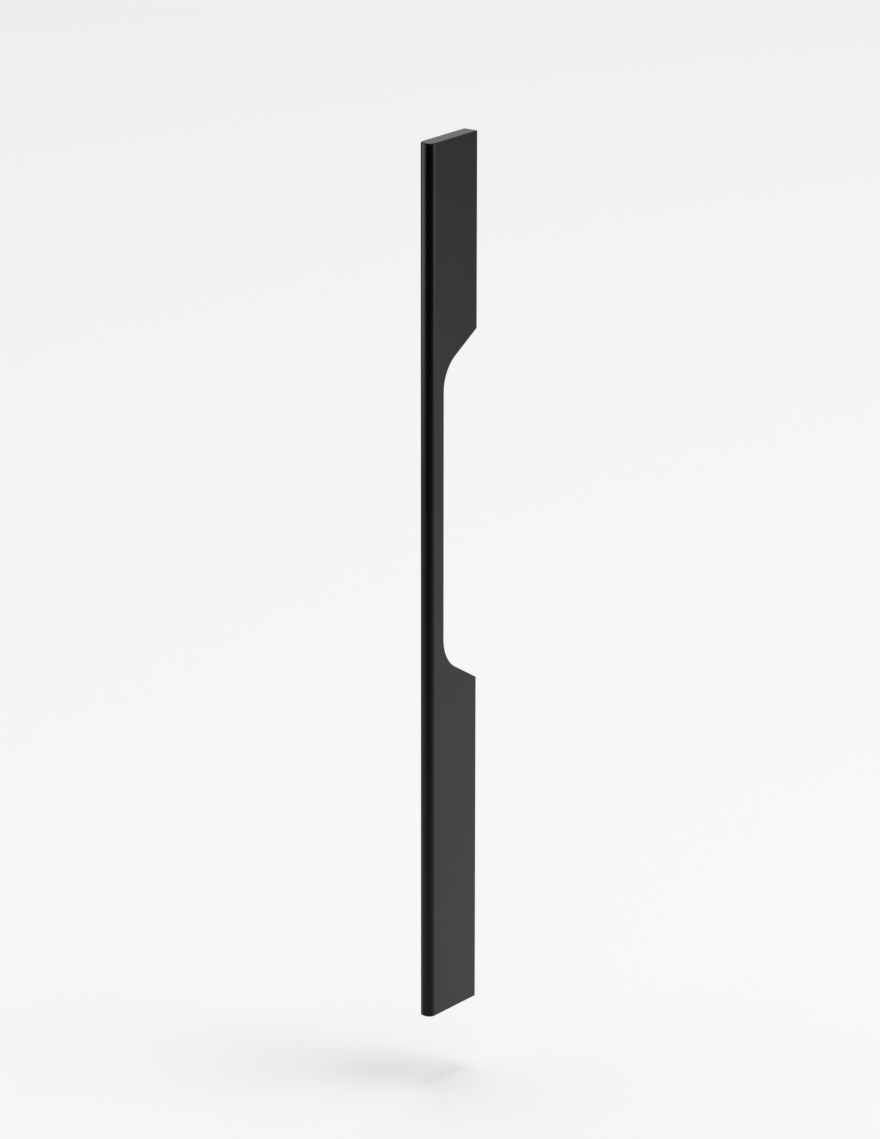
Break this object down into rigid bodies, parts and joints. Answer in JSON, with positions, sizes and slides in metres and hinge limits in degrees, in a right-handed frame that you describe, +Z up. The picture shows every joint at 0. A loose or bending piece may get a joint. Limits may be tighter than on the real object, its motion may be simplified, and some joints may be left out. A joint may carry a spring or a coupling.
{
  "type": "cabinet pull",
  "caption": "Long slim edge-on bar pull with a rounded nose and an off-centre finger gap, fixed from behind the door with screws.",
  "frame": {"origin": "on the door's face, midway between the two fixing holes", "axes": "+Z up along the bar, +Y into the door, +X across the bar's thickness"},
  "size_m": [0.007, 0.0335, 0.4],
  "materials": {
    "black_aluminium": "satin"
  },
  "bodies": {
    "root": {"pull_bar": "black_aluminium"}
  },
  "joints": []
}
